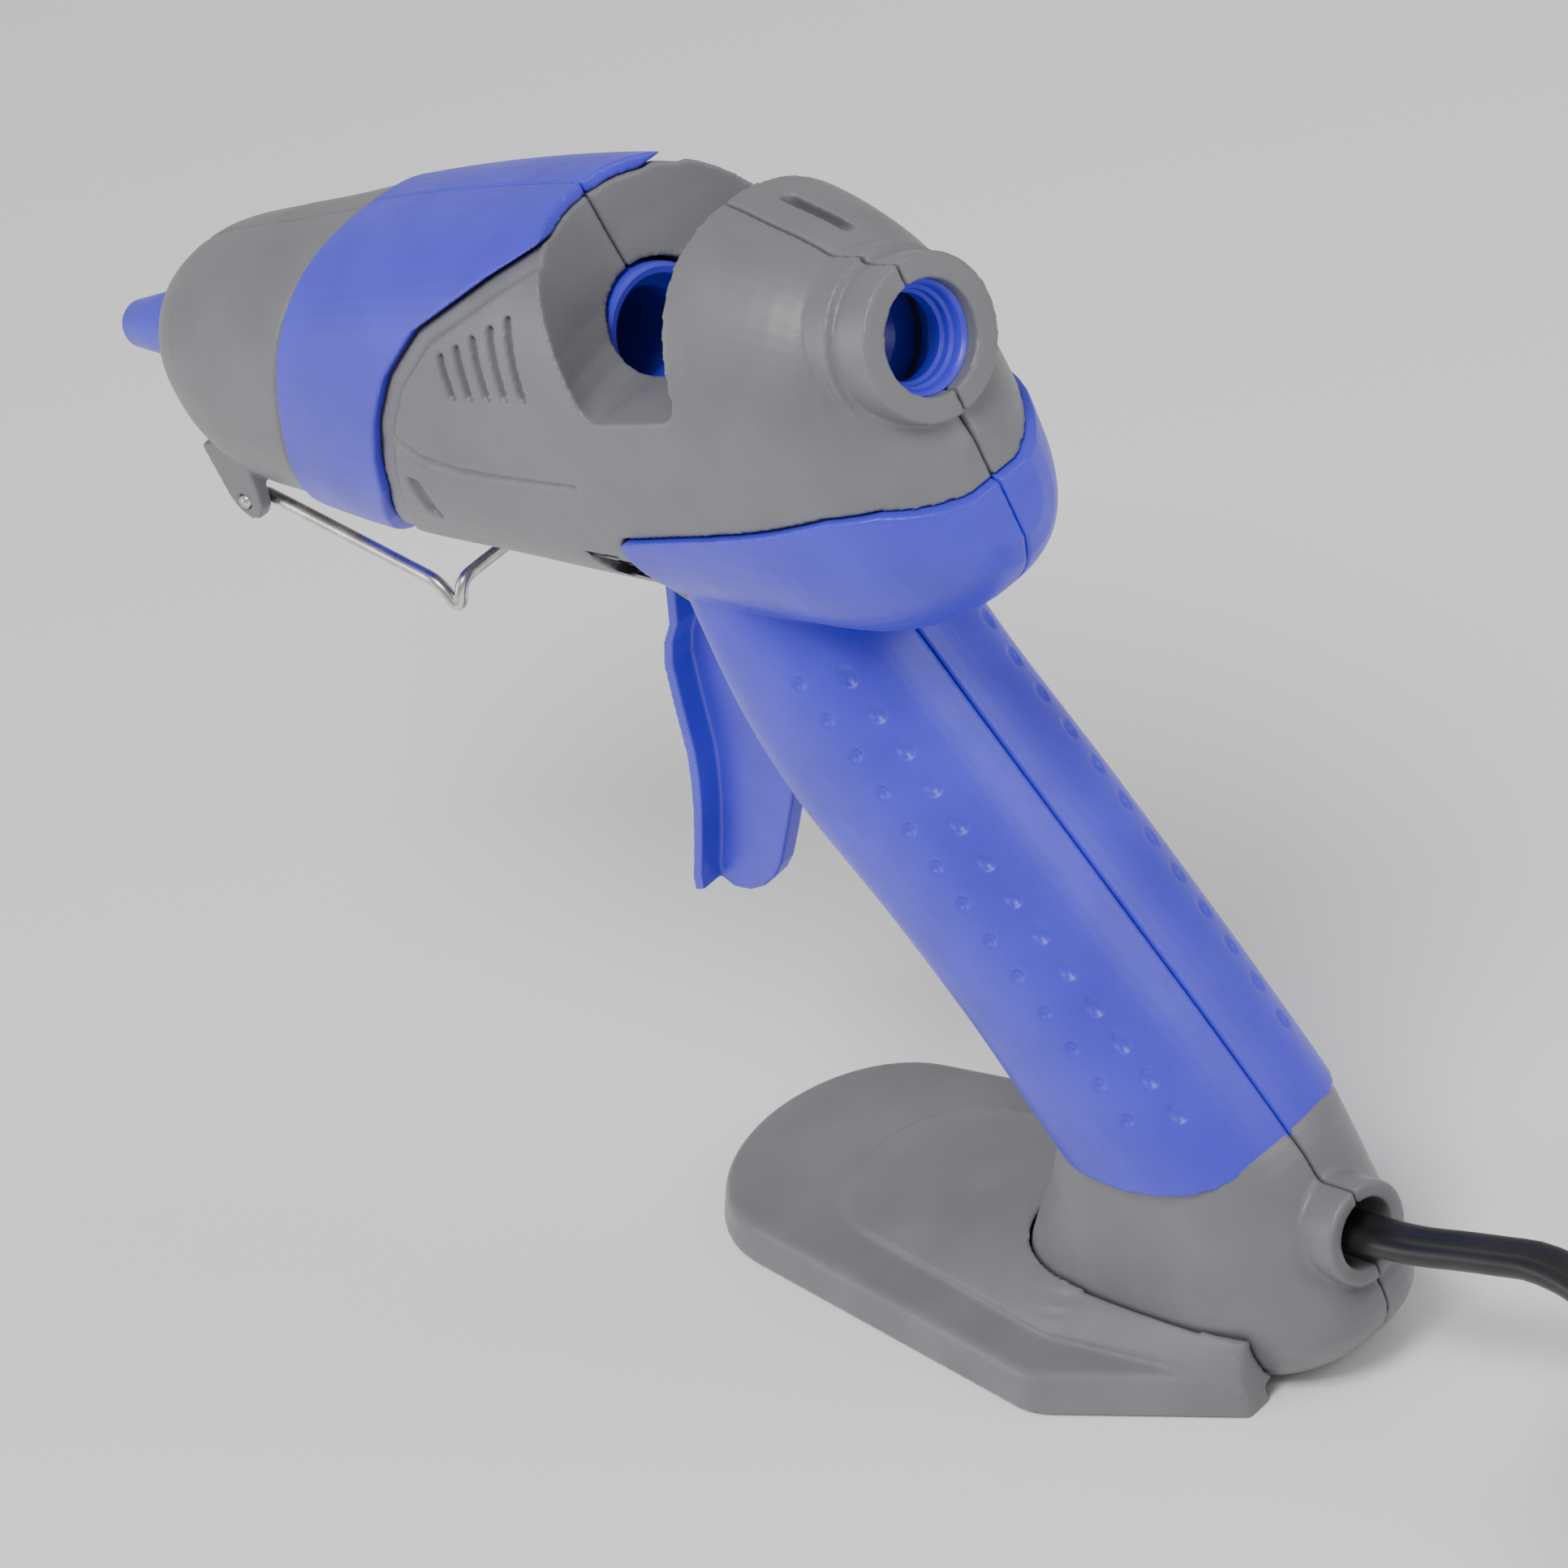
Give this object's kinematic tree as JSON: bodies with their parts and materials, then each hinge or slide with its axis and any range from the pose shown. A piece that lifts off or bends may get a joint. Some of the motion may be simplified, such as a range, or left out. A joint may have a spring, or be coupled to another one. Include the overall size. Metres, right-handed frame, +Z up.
{
  "type": "glue gun",
  "caption": "Hot melt glue gun with trigger feed, open stick window, folding wire rest, flat stand base and power cord",
  "frame": {"origin": "middle of the base plate's underside, on the table", "axes": "nozzle towards -X, handle leaning to +X, +Z up, left side towards -Y"},
  "size_m": [0.3656, 0.1062, 0.1909],
  "materials": {
    "gray_plastic": "satin moulded",
    "blue_plastic": "satin moulded",
    "steel": "bright drawn",
    "black_rubber": "matt",
    "cast_aluminium": "as cast",
    "brass": "turned",
    "white_ceramic": "matt ceramic",
    "dark_plastic": "heat resistant"
  },
  "bodies": {
    "housing": {"left_shell": "gray_plastic", "right_shell": "gray_plastic", "left_hood": "blue_plastic", "right_hood": "blue_plastic", "left_grip": "blue_plastic", "right_grip": "blue_plastic", "base_plate": "gray_plastic", "base_pads": "black_rubber", "base_screws": "steel", "housing_screws": "steel", "trigger_pin": "steel", "trigger_spring": "steel", "rear_guide": "blue_plastic", "inlet_sleeve": "blue_plastic", "sleeve_clamp": "steel", "melt_chamber": "cast_aluminium", "heater_cartridge": "white_ceramic", "heater_clip": "steel", "chamber_holders": "dark_plastic", "nozzle": "brass", "nozzle_cover": "blue_plastic", "cord_clamp": "black_rubber", "clamp_screws": "steel", "lead_wires": "black_rubber", "crimp_sleeves": "white_ceramic", "cord": "black_rubber", "cord_coil": "black_rubber", "cord_tail": "black_rubber", "plug_body": "black_rubber", "plug_blades": "steel"},
    "trigger": {"trigger": "blue_plastic", "link_pin": "steel"},
    "carriage": {"feed_carriage": "blue_plastic", "carriage_pin": "steel"},
    "link": {"feed_link": "steel"},
    "wire_stand": {"wire_stand": "steel"}
  },
  "joints": [
    {"name": "trigger_pull", "type": "hinge", "parent": "housing", "child": "trigger", "pos_m": [-0.00873, 0, 0.12293], "axis": [0, -1, 0], "range_deg": [0, 16], "stiffness_Nm_per_rad": 0.8},
    {"name": "feed_slide", "type": "slide", "parent": "housing", "child": "carriage", "axis": [-0.9848, 0, -0.1736], "range_m": [0, 0.0068]},
    {"name": "link_pivot", "type": "hinge", "parent": "carriage", "child": "link", "pos_m": [0.02854, 0, 0.15342], "axis": [0, 1, 0], "range_deg": [0, 0.6]},
    {"name": "wire_fold", "type": "hinge", "parent": "housing", "child": "wire_stand", "pos_m": [-0.11354, 0, 0.12414], "axis": [0, 1, 0], "range_deg": [0, 95]}
  ],
  "couplings": [
    {"joint": "feed_slide", "follows": "trigger_pull", "m_per_rad": 0.0239},
    {"joint": "link_pivot", "follows": "trigger_pull", "ratio": 0.0335}
  ]
}
